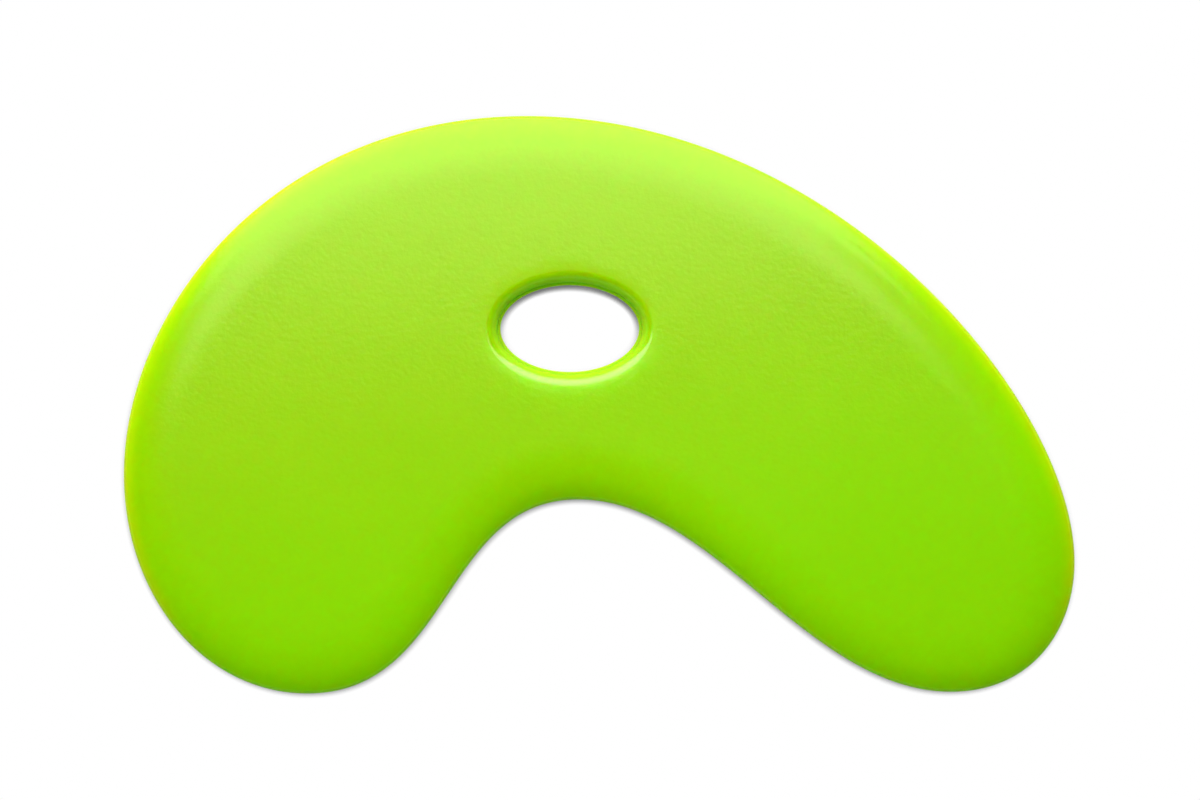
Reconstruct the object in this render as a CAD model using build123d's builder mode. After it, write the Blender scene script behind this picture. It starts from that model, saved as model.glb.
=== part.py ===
# Pottery rib: a kidney-shaped scraper for shaping and smoothing clay.
# It is one piece of soft polyurethane, cast in a two-part mould. Both faces are flat, the working
# edge is a low rounded side below a bevel that fades into each face, and an oval hole takes a finger
# tip or a hook.
#
# Millimetres. +X runs along the length, +Y from the two feet to the crown, and +Z up.
# The rib lies on its lower face. The origin is on that face, below the middle of the outline's box.

import os
from math import cos, radians

from build123d import *

# Overall size
length = 120.65
width = 73.3
thickness = 5.0

# Working edge: the side, its corner, the bevel above and a long taper, all arcs, each tangent to the
# one before. A slope is that of the surface where an arc ends: upright is 90 and the face is 0.
side_radius = 4.4
corner_radius = 0.55
bevel_radius = 7.7
side_end_slope = 76.0
corner_end_slope = 27.0
bevel_end_slope = 9.0
taper_end_slope = 2.0

# Finger hole, measured between the lands at its narrowest
hole_length = 17.6
hole_width = 11.0
lip_radius = 1.5
hole_shares = Vector(-0.031, 0.132)

# Land that the two halves of the mould leave round the middle of the hole's wall
land_depth = 0.4
land_height = 0.9

# How far cutters reach past the faces that they cut
overrun = 3.0

# The outline runs anticlockwise through six places where it is square to the length or the width.
# Each row is a place, the heading there, and how far the curve reaches behind and ahead of the
# place along that heading. Whatever lies along X is a share of the length, and along Y of the width.
east, north, west, south = Vector(1, 0), Vector(0, 1), Vector(-1, 0), Vector(0, -1)
outline_shares = [
    (Vector(0.500, -0.272), north, 0.118, 0.279),
    (Vector(-0.076, 0.500), west, 0.326, 0.268),
    (Vector(-0.500, -0.121), south, 0.287, 0.212),
    (Vector(-0.307, -0.500), east, 0.108, 0.153),
    (Vector(-0.022, -0.164), east, 0.143, 0.142),
    (Vector(0.370, -0.497), east, 0.150, 0.085),
]


def to_size(share):
    return Vector(share.X * length, share.Y * width)


# Both faces lie half the thickness from the plane where the mould parts
half = thickness / 2
parting = Plane.XY.offset(half)

# The taper arc climbs what the other arcs leave of the half thickness
side_cos, corner_cos, bevel_cos, taper_cos = [
    cos(radians(slope))
    for slope in (side_end_slope, corner_end_slope, bevel_end_slope, taper_end_slope)
]
corner_climb = corner_radius * (corner_cos - side_cos)
bevel_climb = bevel_radius * (bevel_cos - corner_cos)
taper_climb = half - side_radius * side_cos - corner_climb - bevel_climb
taper_radius = taper_climb / (taper_cos - bevel_cos)

with BuildSketch(parting) as outline:
    with BuildLine():
        for index, (start, heading, _, ahead) in enumerate(outline_shares):
            finish, next_heading, behind, _ = outline_shares[(index + 1) % len(outline_shares)]
            handles = (start + heading * ahead, finish - next_heading * behind)
            Bezier(to_size(start), *[to_size(handle) for handle in handles], to_size(finish))
    make_face()

with BuildPart() as rib:
    # Blank of the full thickness, larger all round than the outline, so that the edge is cut clean
    with BuildSketch(parting):
        offset(outline.sketch_local, amount=overrun / 2)
    extrude(amount=half, both=True)

    # Working edge: all that lies outside its two mirrored halves, carried round the outline. The taper
    # arcs run on past the face to where they are level, so that they cut it at a slope.
    edge_path = outline.sketch.face().outer_wire()
    outward = (edge_path % 0).cross(Vector(0, 0, 1))
    with BuildSketch(Plane(edge_path @ 0, x_dir=outward, z_dir=edge_path % 0)) as trim:
        with BuildLine():
            side = CenterArc((-side_radius, 0), side_radius, 0, 90 - side_end_slope)
            corner = JernArc(side @ 1, side % 1, corner_radius, side_end_slope - corner_end_slope)
            bevel = JernArc(corner @ 1, corner % 1, bevel_radius, corner_end_slope - bevel_end_slope)
            taper = JernArc(bevel @ 1, bevel % 1, taper_radius, bevel_end_slope)
            clear = half + overrun
            Polyline(taper @ 1, ((taper @ 1).X, clear), (overrun, clear), (overrun, 0))
            mirror(about=Plane.XZ)
        make_face()
    sweep(sections=trim.sketch, path=edge_path, mode=Mode.SUBTRACT)

    # Finger hole, down to the foot of the land, with both mouths rounded
    wall_radii = Vector(hole_length / 2 + land_depth, hole_width / 2 + land_depth)
    with BuildSketch(parting):
        with Locations(to_size(hole_shares)):
            Ellipse(wall_radii.X, wall_radii.Y)
    extrude(amount=thickness, both=True, mode=Mode.SUBTRACT)
    mouths = [face.inner_wires()[0].edge() for face in rib.faces().filter_by(Axis.Z)]
    fillet(mouths, lip_radius)

    # Land round the middle of the hole, rooted in the wall by its own depth
    with BuildSketch(parting):
        with Locations(to_size(hole_shares)):
            Ellipse(wall_radii.X + land_depth, wall_radii.Y + land_depth)
            Ellipse(hole_length / 2, hole_width / 2, mode=Mode.SUBTRACT)
    extrude(amount=land_height / 2, both=True)

rib.part.label = "rib"
os.makedirs("parts", exist_ok=True)
export_step(rib.part, "parts/rib.step")
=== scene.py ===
import math

import bpy
import numpy as np
from mathutils import Matrix, Vector
from mathutils.geometry import delaunay_2d_cdt


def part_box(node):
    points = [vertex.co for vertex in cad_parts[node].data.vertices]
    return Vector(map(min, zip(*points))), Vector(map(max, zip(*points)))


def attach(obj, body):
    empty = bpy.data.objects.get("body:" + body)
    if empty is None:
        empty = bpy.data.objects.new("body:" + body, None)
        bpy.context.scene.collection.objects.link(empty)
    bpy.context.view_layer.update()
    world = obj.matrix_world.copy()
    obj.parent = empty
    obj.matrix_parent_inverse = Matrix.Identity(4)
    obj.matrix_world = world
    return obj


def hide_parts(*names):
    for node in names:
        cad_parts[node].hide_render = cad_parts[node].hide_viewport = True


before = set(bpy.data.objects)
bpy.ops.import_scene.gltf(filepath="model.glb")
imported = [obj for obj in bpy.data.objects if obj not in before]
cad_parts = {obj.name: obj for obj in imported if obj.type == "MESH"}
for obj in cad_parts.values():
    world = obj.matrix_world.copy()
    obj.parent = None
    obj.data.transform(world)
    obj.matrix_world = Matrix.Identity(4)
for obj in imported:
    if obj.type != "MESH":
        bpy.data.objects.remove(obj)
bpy.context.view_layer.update()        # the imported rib, which stays where it is
ribLow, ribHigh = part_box("rib")
mm = 0.001


# Shader nodes

class Value:
    # an output socket that takes part in sums
    def __init__(self, tree, socket):
        self.tree = tree
        self.socket = socket

    def math(self, operation, *terms):
        return self.tree.add("ShaderNodeMath", {"operation": operation}, dict(enumerate(terms)))

    def __add__(self, other):
        return self.math("ADD", self, other)

    def __radd__(self, other):
        return self.math("ADD", other, self)

    def __sub__(self, other):
        return self.math("SUBTRACT", self, other)

    def __rsub__(self, other):
        return self.math("SUBTRACT", other, self)

    def __mul__(self, other):
        return self.math("MULTIPLY", self, other)

    def __rmul__(self, other):
        return self.math("MULTIPLY", other, self)

    def __truediv__(self, other):
        return self.math("DIVIDE", self, other)

    def __abs__(self):
        return self.math("ABSOLUTE", self)

    def root(self):
        return self.math("SQRT", self)

    def orMore(self, other):
        # the greater of the two
        return self.math("MAXIMUM", self, other)

    def between(self, start, end):
        # rises smoothly from 0 at start to 1 at end, or falls where end is the lower
        low, high = min(start, end), max(start, end)
        ends = {"To Min": float(start > end), "To Max": float(end > start)}
        return self.tree.add("ShaderNodeMapRange", {"interpolation_type": "SMOOTHSTEP"},
                             {"Value": self, "From Min": low, "From Max": high, **ends})

    def besides(self):
        # all the outputs of this one's node
        return [Value(self.tree, socket) for socket in self.socket.node.outputs]


class Tree:
    def __init__(self, block):
        block.use_nodes = True
        self.nodes = block.node_tree.nodes
        self.links = block.node_tree.links
        self.nodes.clear()

    def add(self, kind, settings={}, inputs={}, output=0):
        node = self.nodes.new(kind)
        for name, value in settings.items():
            setattr(node, name, value)
        for name, value in inputs.items():
            if isinstance(value, Value):
                self.links.new(value.socket, node.inputs[name])
            else:
                node.inputs[name].default_value = value
        return Value(self, node.outputs[output] if node.outputs else None)


# The rib's form in millimetres, degrees and shares. An outline row is a place, the heading there and
# the reach of the curve behind and ahead of it, as shares of the length along X and the width along Y.
ribForm = {
    "outline": [
        ((0.500, -0.272), (0, 1), 0.118, 0.279),
        ((-0.076, 0.500), (-1, 0), 0.326, 0.268),
        ((-0.500, -0.121), (0, -1), 0.287, 0.212),
        ((-0.307, -0.500), (1, 0), 0.108, 0.153),
        ((-0.022, -0.164), (1, 0), 0.143, 0.142),
        ((0.370, -0.497), (1, 0), 0.150, 0.085),
    ],
    "edgeArcs": [(4.4, 76), (0.55, 27), (7.7, 9)],  # radius, and the slope where the arc ends
    "taperEndSlope": 2.0,
    "shoulderSoftness": 1.6,   # width of the round between the taper and the face
    "shoulderRings": 4,
    "traceSteps": 2000,        # fine steps along each curve, before they are spaced evenly
    "outlineSteps": 640,
    "arcStep": 5.0,            # degrees of turn between rings
    "taperRings": 14,
    "holeCentre": (-0.031, 0.132),
    "holeSize": (17.6, 11.0),
    "lipRadius": 1.5,
    "landDepth": 0.4,
    "landHeight": 0.9,
    "landCorner": 0.1,
    "lipRings": 12,
    "holeSteps": 176,
    "faceGrid": 1.5,           # space between the points that fill the face
    "faceRow": 0.866,          # how much of it lies between two rows of them
    "faceClear": 0.55,         # and how much they keep from the borders
    "faceWeld": 1e-7,
}


def curvePoints(start, leave, arrive, finish, count):
    t = np.linspace(0, 1, count, endpoint=False)[:, None]
    ends = start * (1 - t) ** 3 + finish * t ** 3
    return ends + 3 * leave * t * (1 - t) ** 2 + 3 * arrive * t * t * (1 - t)


def traceOutline(form):
    # evenly spaced points round the outline, with the direction inwards at each
    size = np.array([(ribHigh.x - ribLow.x) / mm, (ribHigh.y - ribLow.y) / mm])
    rows = form["outline"]
    fine = []
    for (place, heading, behind, ahead), after in zip(rows, rows[1:] + rows[:1]):
        start, finish = np.array(place), np.array(after[0])
        leave = start + np.array(heading) * ahead
        arrive = finish - np.array(after[1]) * after[2]
        corners = [corner * size for corner in (start, leave, arrive, finish)]
        fine.append(curvePoints(*corners, form["traceSteps"]))
    fine = np.vstack(fine)
    steps = np.linalg.norm(np.roll(fine, -1, 0) - fine, axis=1)
    along = np.concatenate([[0], np.cumsum(steps)])
    closed = np.vstack([fine, fine[:1]])
    wanted = np.linspace(0, along[-1], form["outlineSteps"], endpoint=False)
    points = np.column_stack([np.interp(wanted, along, closed[:, axis]) for axis in (0, 1)])
    travel = np.roll(points, -1, 0) - np.roll(points, 1, 0)
    travel /= np.linalg.norm(travel, axis=1)[:, None]
    return points, np.column_stack([-travel[:, 1], travel[:, 0]])


def edgeSection(form, half):
    # (run inwards, rise above the parting plane) of each ring, from the tip to the face
    section = [(0.0, 0.0)]
    slope = 90.0
    for radius, endSlope in form["edgeArcs"]:
        count = max(2, math.ceil((slope - endSlope) / form["arcStep"]))
        run, rise = section[-1]
        for step in range(1, count + 1):
            here = math.radians(slope + (endSlope - slope) * step / count)
            before = math.radians(slope)
            section.append((run + radius * (math.sin(before) - math.sin(here)),
                            rise + radius * (math.cos(here) - math.cos(before))))
        slope = endSlope
    run, rise = section[-1]
    first, last = math.radians(slope), math.radians(form["taperEndSlope"])
    soft = form["shoulderSoftness"]
    softRise = soft * math.tan(last / 2)               # what the last round climbs
    radius = (half - softRise - rise) / (math.cos(last) - math.cos(first))
    for step in range(1, form["taperRings"] + 1):
        here = first + (last - first) * step / form["taperRings"]
        section.append((run + radius * (math.sin(first) - math.sin(here)),
                        rise + radius * (math.cos(here) - math.cos(first))))
    run, rise = section[-1]
    for step in range(1, form["shoulderRings"] + 1):
        share = step / form["shoulderRings"]
        slopeHere = math.tan(last) * (1 - share / 2)
        section.append((run + soft * share, rise + soft * share * slopeHere))
    rise = section[-1][1]
    return [(r, z * half / rise) for r, z in section]


def addRing(verts, points, height):
    start = len(verts)
    verts.extend((x, y, height) for x, y in points)
    return list(range(start, start + len(points)))


def bridge(faces, ringA, ringB, flip):
    count = len(ringA)
    for i in range(count):
        j = (i + 1) % count
        quad = (ringA[i], ringA[j], ringB[j], ringB[i])
        faces.append(quad[::-1] if flip else quad)


def ovalRing(centre, radii, offset, count):
    # an ellipse grown by an offset along its normals
    t = np.linspace(0, 2 * math.pi, count, endpoint=False)
    points = np.column_stack([radii[0] * np.cos(t), radii[1] * np.sin(t)])
    normals = np.column_stack([np.cos(t) / radii[0], np.sin(t) / radii[1]])
    normals /= np.linalg.norm(normals, axis=1)[:, None]
    return centre + points + normals * offset


def holeSection(form, half):
    # (offset from the wall, rise above the parting plane), from the face down to the middle
    lip, depth = form["lipRadius"], form["landDepth"]
    top, corner = form["landHeight"] / 2, form["landCorner"]
    section = []
    for step in range(form["lipRings"] + 1):
        angle = math.radians(90 * step / form["lipRings"])
        section.append((lip * (1 - math.sin(angle)), half - lip * (1 - math.cos(angle))))
    floor = section[-1][1]
    section += [(0, floor + (top + corner - floor) * share) for share in (0.5, 1.0)]
    for angle in (45, 90):                              # foot of the land
        turn = math.radians(angle)
        section.append((-corner * (1 - math.cos(turn)), top + corner * (1 - math.sin(turn))))
    section.append((-depth + corner, top))
    for angle in (45, 90):                              # the land's own corner
        turn = math.radians(angle)
        section.append((-depth + corner * (1 - math.sin(turn)), top - corner * (1 - math.cos(turn))))
    section.append((-depth, 0))
    return section


def inside(spot, ring):
    x, y = spot
    following = np.roll(ring, -1, 0)
    crosses = (ring[:, 1] > y) != (following[:, 1] > y)
    a, b = ring[crosses], following[crosses]
    at = a[:, 0] + (y - a[:, 1]) * (b[:, 0] - a[:, 0]) / (b[:, 1] - a[:, 1])
    return np.count_nonzero(at > x) % 2 == 1


def nearest(spot, ring):
    return np.sqrt(((ring - spot) ** 2).sum(1).min())


def fillFace(form, verts, faces, outer, inner, flip):
    # a web of triangles between the edge's last ring and the hole's first one
    spacing = form["faceGrid"]
    rowStep = spacing * form["faceRow"]
    low = np.min([verts[i][:2] for i in outer], axis=0)
    high = np.max([verts[i][:2] for i in outer], axis=0)
    rim = np.array([verts[i][:2] for i in outer])
    hole = np.array([verts[i][:2] for i in inner])
    loose = []
    for row in range(int((high[1] - low[1]) / rowStep) + 1):
        y = low[1] + row * rowStep
        for column in range(int((high[0] - low[0]) / spacing) + 1):
            spot = np.array([low[0] + (column + 0.5 * (row % 2)) * spacing, y])
            if not inside(spot, rim) or inside(spot, hole):
                continue
            if min(nearest(spot, rim), nearest(spot, hole)) > spacing * form["faceClear"]:
                loose.append(spot)
    known = outer + inner + addRing(verts, loose, verts[outer[0]][2])
    flat = [Vector(verts[i][:2]) for i in known]
    loops = [(i, (i + 1) % len(outer)) for i in range(len(outer))]
    loops += [(len(outer) + i, len(outer) + (i + 1) % len(inner)) for i in range(len(inner))]
    places, _, triangles, origins, _, _ = delaunay_2d_cdt(flat, loops, [], 0, form["faceWeld"])
    for triangle in triangles:
        middle = np.mean([places[i] for i in triangle], axis=0)
        if inside(middle, rim) and not inside(middle, hole):
            corners = tuple(known[origins[i][0]] for i in triangle)
            faces.append(corners[::-1] if flip else corners)


def makeRib(form):
    half = (ribHigh.z - ribLow.z) / mm / 2
    size = np.array([(ribHigh.x - ribLow.x) / mm, (ribHigh.y - ribLow.y) / mm])
    centre = np.array(form["holeCentre"]) * size
    outline, inwards = traceOutline(form)
    wall = np.array(form["holeSize"]) / 2 + form["landDepth"]
    verts, faces = [], []
    tip = addRing(verts, outline, half)
    throat = addRing(verts, ovalRing(centre, wall, -form["landDepth"], form["holeSteps"]), half)
    for side in (1, -1):
        flip = side < 0
        ring = tip
        for run, rise in edgeSection(form, half)[1:]:
            following = addRing(verts, outline + inwards * run, half + side * rise)
            bridge(faces, ring, following, flip)
            ring = following
        last = throat
        for offset, rise in reversed(holeSection(form, half)[:-1]):
            points = ovalRing(centre, wall, offset, form["holeSteps"])
            following = addRing(verts, points, half + side * rise)
            bridge(faces, last, following, not flip)
            last = following
        fillFace(form, verts, faces, ring, last, flip)
    mesh = bpy.data.meshes.new("rib")
    mesh.from_pydata([(x * mm, y * mm, z * mm) for x, y, z in verts], [], faces)
    mesh.validate()
    mesh.shade_smooth()
    piece = bpy.data.objects.new("castRib", mesh)
    bpy.context.scene.collection.objects.link(piece)
    return piece


# Cast polyurethane, satin on the faces, glossier on the rounded mouths of the hole and dull below them
limeRubber = {
    "shadedFeetColour": (0.275, 0.685, 0.0),   # painted light: the colour turns yellower towards the lit back and greener towards the shaded feet
    "litBackColour": (0.322, 0.605, 0.0),
    "lightDriftSpan": (-0.026, 0.014),
    "lightDriftLean": 0.2,
    "cloudSize": 0.017,        # patches where the colour is deeper by the share below
    "cloudDetail": 4.0,
    "cloudShare": 0.04,
    "rimGlowColour": (0.46, 0.66, 0.0),     # painted light: a yellower glow of light through the thin rim, towards the two ends
    "rimEnds": (0.015, 0.05),      # metres from the middle along X, where it starts and is full
    "rimFeet": (-0.034, -0.02),    # and along Y, where it has gone at the shaded feet and is full
    "rimRise": (0.0013, 0.0021),   # metres above the parting line, where it starts to fade and has gone
    "roughness": 0.185,
    "roughnessSwing": 0.03,
    "dullRoughness": 0.8,
    "dullSide": (0.001, 0.0016),   # metres above the parting line, where the dull side ends
    "throatReach": (0.0003, 0.0007),   # metres out from the wall of the hole, as the next two
    "lipStart": (0.0005, 0.0008),
    "lipEnd": (0.0011, 0.0015),
    "lipGloss": 0.85,
    "glossRoughness": 0.09,
    "subsurface": 0.9,
    "scatter": (0.2, 1.0, 0.05),
    "scatterReach": 0.008,
    "specular": 0.4,
    "specularTint": (1.0, 1.0, 0.6),
    "grainSize": 0.0006,
    "grainDetail": 3.0,
    "grainDepth": 0.00002,
}


def holeDistance(form, x, y):
    # metres out from the wall of the hole
    size = [(high - low) for low, high in zip(ribLow, ribHigh)]
    centre = [form["holeCentre"][axis] * size[axis] for axis in (0, 1)]
    wall = [(form["holeSize"][axis] / 2 + form["landDepth"]) * mm for axis in (0, 1)]
    u, v = (x - centre[0]) * (1 / wall[0]), (y - centre[1]) * (1 / wall[1])
    oval = (u * u + v * v).root()
    steep = u * u * (1 / wall[0] ** 2) + v * v * (1 / wall[1] ** 2)
    return oval * (oval - 1) / steep.root()


def rubberMaterial(look, form):
    material = bpy.data.materials.new("limePolyurethane")
    tree = Tree(material)
    place = tree.add("ShaderNodeTexCoord", output="Object")
    x, y, z = tree.add("ShaderNodeSeparateXYZ", {}, {0: place}).besides()
    out = holeDistance(form, x, y)
    height = z - (ribLow.z + ribHigh.z) / 2
    rise = abs(height)
    # painted light: the thin rim glows yellower as if lit through, except at the shaded feet
    rim = rise.between(*look["rimRise"][::-1]) * abs(x).between(*look["rimEnds"])
    rim = rim * y.between(*look["rimFeet"])
    throat = out.between(*look["throatReach"][::-1])
    side = rise.between(*look["dullSide"][::-1])
    dull = throat.orMore(side)
    # painted light and shade: yellower towards the lit back, greener towards the shaded feet
    lightDrift = (y - x * look["lightDriftLean"]).between(*look["lightDriftSpan"])
    lip = out.between(*look["lipStart"]) * out.between(*look["lipEnd"][::-1])
    grain = tree.add("ShaderNodeTexNoise", {}, {
        "Vector": place, "Scale": 1 / look["grainSize"], "Detail": look["grainDetail"],
    })
    bump = tree.add("ShaderNodeBump", {}, {"Height": grain, "Distance": look["grainDepth"]})
    cloud = tree.add("ShaderNodeTexNoise", {}, {
        "Vector": place, "Scale": 1 / look["cloudSize"], "Detail": look["cloudDetail"],
    })
    satin = look["roughness"] + look["roughnessSwing"] * (cloud - 0.5)
    rough = satin + dull * (look["dullRoughness"] - satin)
    colour = tree.add("ShaderNodeMix", {"data_type": "RGBA"},
                      {0: lightDrift, 6: (*look["shadedFeetColour"], 1), 7: (*look["litBackColour"], 1)}, output=2)
    deeper = tree.add("ShaderNodeVectorMath", {"operation": "SCALE"},
                      {0: colour, "Scale": 1 - look["cloudShare"]})
    colour = tree.add("ShaderNodeMix", {"data_type": "RGBA"}, {0: cloud, 6: deeper, 7: colour}, output=2)
    colour = tree.add("ShaderNodeMix", {"data_type": "RGBA"},
                      {0: rim, 6: colour, 7: (*look["rimGlowColour"], 1)}, output=2)
    shader = tree.add("ShaderNodeBsdfPrincipled", {}, {
        "Base Color": colour, "Roughness": rough, "Normal": bump,
        "Subsurface Weight": look["subsurface"], "Subsurface Radius": look["scatter"],
        "Subsurface Scale": look["scatterReach"], "Specular IOR Level": look["specular"],
        "Specular Tint": (*look["specularTint"], 1), "Coat Weight": lip * look["lipGloss"],
        "Coat Roughness": look["glossRoughness"],
    })
    tree.add("ShaderNodeOutputMaterial", {}, {"Surface": shader})
    return material


castRib = makeRib(ribForm)
castRib.data.materials.append(rubberMaterial(limeRubber, ribForm))
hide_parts("rib")
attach(castRib, "root")
print("rib", len(castRib.data.vertices), "points", len(castRib.data.polygons), "faces")


# The table that the rib lies on
table = {
    "size": 3.0,
    "aside": 0.5,              # how far its middle is from the rib, so that no seam of it is in view
    "white": 0.8,
    "shadowSamples": 16,
    "shadowReach": 0.0016,     # how near the rib must be to shade the table
    "shadowLean": (0.1, 0.75, 0.65),   # the way that the table looks for it, towards +Y and up
    "shadowOpen": (0.6, 0.97),    # share of open sky where the table is darkest, and where it is white
    "shadowDark": 0.18,
}


def makeTable(values):
    half = values["size"] / 2
    corners = [(-half, -half, 0), (half, -half, 0), (half, half, 0), (-half, half, 0)]
    corners = [(x + values["aside"], y, z) for x, y, z in corners]
    mesh = bpy.data.meshes.new("table")
    mesh.from_pydata(corners, [], [(0, 1, 2, 3)])
    piece = bpy.data.objects.new("table", mesh)
    bpy.context.scene.collection.objects.link(piece)
    material = bpy.data.materials.new("tableWhite")
    tree = Tree(material)
    plain = tree.add("ShaderNodeBsdfDiffuse", {}, {"Color": (*[values["white"]] * 3, 1)})
    lean = tree.add("ShaderNodeCombineXYZ", {}, dict(enumerate(values["shadowLean"])))
    sky = tree.add("ShaderNodeAmbientOcclusion", {"samples": values["shadowSamples"]},
                   {"Distance": values["shadowReach"], "Normal": lean}, output=1)
    shade = tree.add("ShaderNodeMapRange", {}, {
        "Value": sky, "From Min": values["shadowOpen"][0], "From Max": values["shadowOpen"][1],
        "To Min": values["shadowDark"], "To Max": 1.0,
    })
    glow = tree.add("ShaderNodeEmission", {}, {"Color": shade, "Strength": 1.0})
    direct, glossy, through = [
        tree.add("ShaderNodeLightPath", output=ray)
        for ray in ("Is Camera Ray", "Is Glossy Ray", "Is Transmission Ray")
    ]
    seen = direct.orMore(glossy).orMore(through)
    mixed = tree.add("ShaderNodeMixShader", {}, {0: seen, 1: plain, 2: glow})
    tree.add("ShaderNodeOutputMaterial", {}, {"Surface": mixed})
    piece.data.materials.append(material)
    return piece


makeTable(table)
print("table")


# Studio light: a softbox that starts beside the camera and leans over the rib's back, narrow overhead
# and wide beyond, and a faint fill that is darkest overhead, where the camera and the ceiling are
studio = {
    "boxTilt": 43.0,           # degrees from the zenith, as all the box's angles
    "boxTurn": 2.0,            # degrees from +Y towards -X
    "boxDistance": 0.32,
    "boxRadiance": 4.45,
    "strips": [                # where each starts and ends in degrees, and its two sides in metres
        {"near": 4.5, "far": 18.0, "left": -0.155, "right": 0.1},
        {"near": 18.0, "far": 34.0, "left": -0.215, "right": 0.155},
        {"near": 34.0, "far": 80.0, "left": -0.255, "right": 0.2},
    ],
    "fill": 0.68,
    "fillFull": 88.0,          # degrees from the zenith where the fill is at its full strength
    "fillGone": 53.0,          # and where it has gone
    "fillSide": (-0.35, -0.35),  # share by which it grows towards +X and +Y
}


def addSoftbox(values):
    tilt, turn = math.radians(values["boxTilt"]), math.radians(values["boxTurn"])
    back = Vector((-math.sin(turn), math.cos(turn), 0))
    across = Vector((math.cos(turn), math.sin(turn), 0))
    away = back * math.sin(tilt) + Vector((0, 0, math.cos(tilt)))
    down = away.cross(across)                          # within the box, towards its far end
    for strip in values["strips"]:
        start, end = [
            values["boxDistance"] * math.tan(math.radians(strip[edge]) - tilt) for edge in ("near", "far")
        ]
        lamp = bpy.data.lights.new("softbox", "AREA")
        lamp.shape = "RECTANGLE"
        lamp.size, lamp.size_y = strip["right"] - strip["left"], end - start
        lamp.energy = values["boxRadiance"] * math.pi * lamp.size * lamp.size_y
        piece = bpy.data.objects.new("softbox", lamp)
        piece.matrix_world = Matrix((across, down, away)).transposed().to_4x4()
        piece.location = away * values["boxDistance"] + down * (start + end) / 2
        piece.location += across * (strip["left"] + strip["right"]) / 2
        bpy.context.scene.collection.objects.link(piece)


world = bpy.data.worlds.new("studio")
bpy.context.scene.world = world
room = Tree(world)
heading = room.add("ShaderNodeTexCoord", output="Generated")
east, north, upwards = room.add("ShaderNodeSeparateXYZ", {}, {0: heading}).besides()
strength = room.add("ShaderNodeMapRange", {}, {
    "Value": upwards, "From Min": math.cos(math.radians(studio["fillFull"])),
    "From Max": math.cos(math.radians(studio["fillGone"])), "To Min": studio["fill"], "To Max": 0.0,
})
strength = strength * (1 + east * studio["fillSide"][0] + north * studio["fillSide"][1])
backdrop = room.add("ShaderNodeBackground", {}, {"Color": (1, 1, 1, 1), "Strength": strength})
white = room.add("ShaderNodeBackground", {}, {"Color": (1, 1, 1, 1), "Strength": 1.0})
seen = room.add("ShaderNodeLightPath", output="Is Camera Ray")
behind = room.add("ShaderNodeMixShader", {}, {0: seen, 1: backdrop, 2: white})   # white past the table
room.add("ShaderNodeOutputWorld", {}, {"Surface": behind})
addSoftbox(studio)
print("light")


# Camera straight above, as far off as a product shot's
shot = {
    "centre": (0.10, 0.61),    # where it looks, in millimetres, as all that follows
    "frameWidth": 152.34,
    "height": 600.0,
    "sensor": 36.0,
    "clip": 10.0,
}
view = bpy.data.cameras.new("camera")
view.sensor_width = shot["sensor"]
view.lens = view.sensor_width * shot["height"] / shot["frameWidth"]
view.clip_start = shot["clip"] * mm
camera = bpy.data.objects.new("camera", view)
middle = (ribHigh.z - ribLow.z) / 2
camera.location = (shot["centre"][0] * mm, shot["centre"][1] * mm, shot["height"] * mm + middle)
bpy.context.scene.collection.objects.link(camera)
bpy.context.scene.camera = camera
bpy.context.scene.view_settings.view_transform = "Standard"
print("camera")
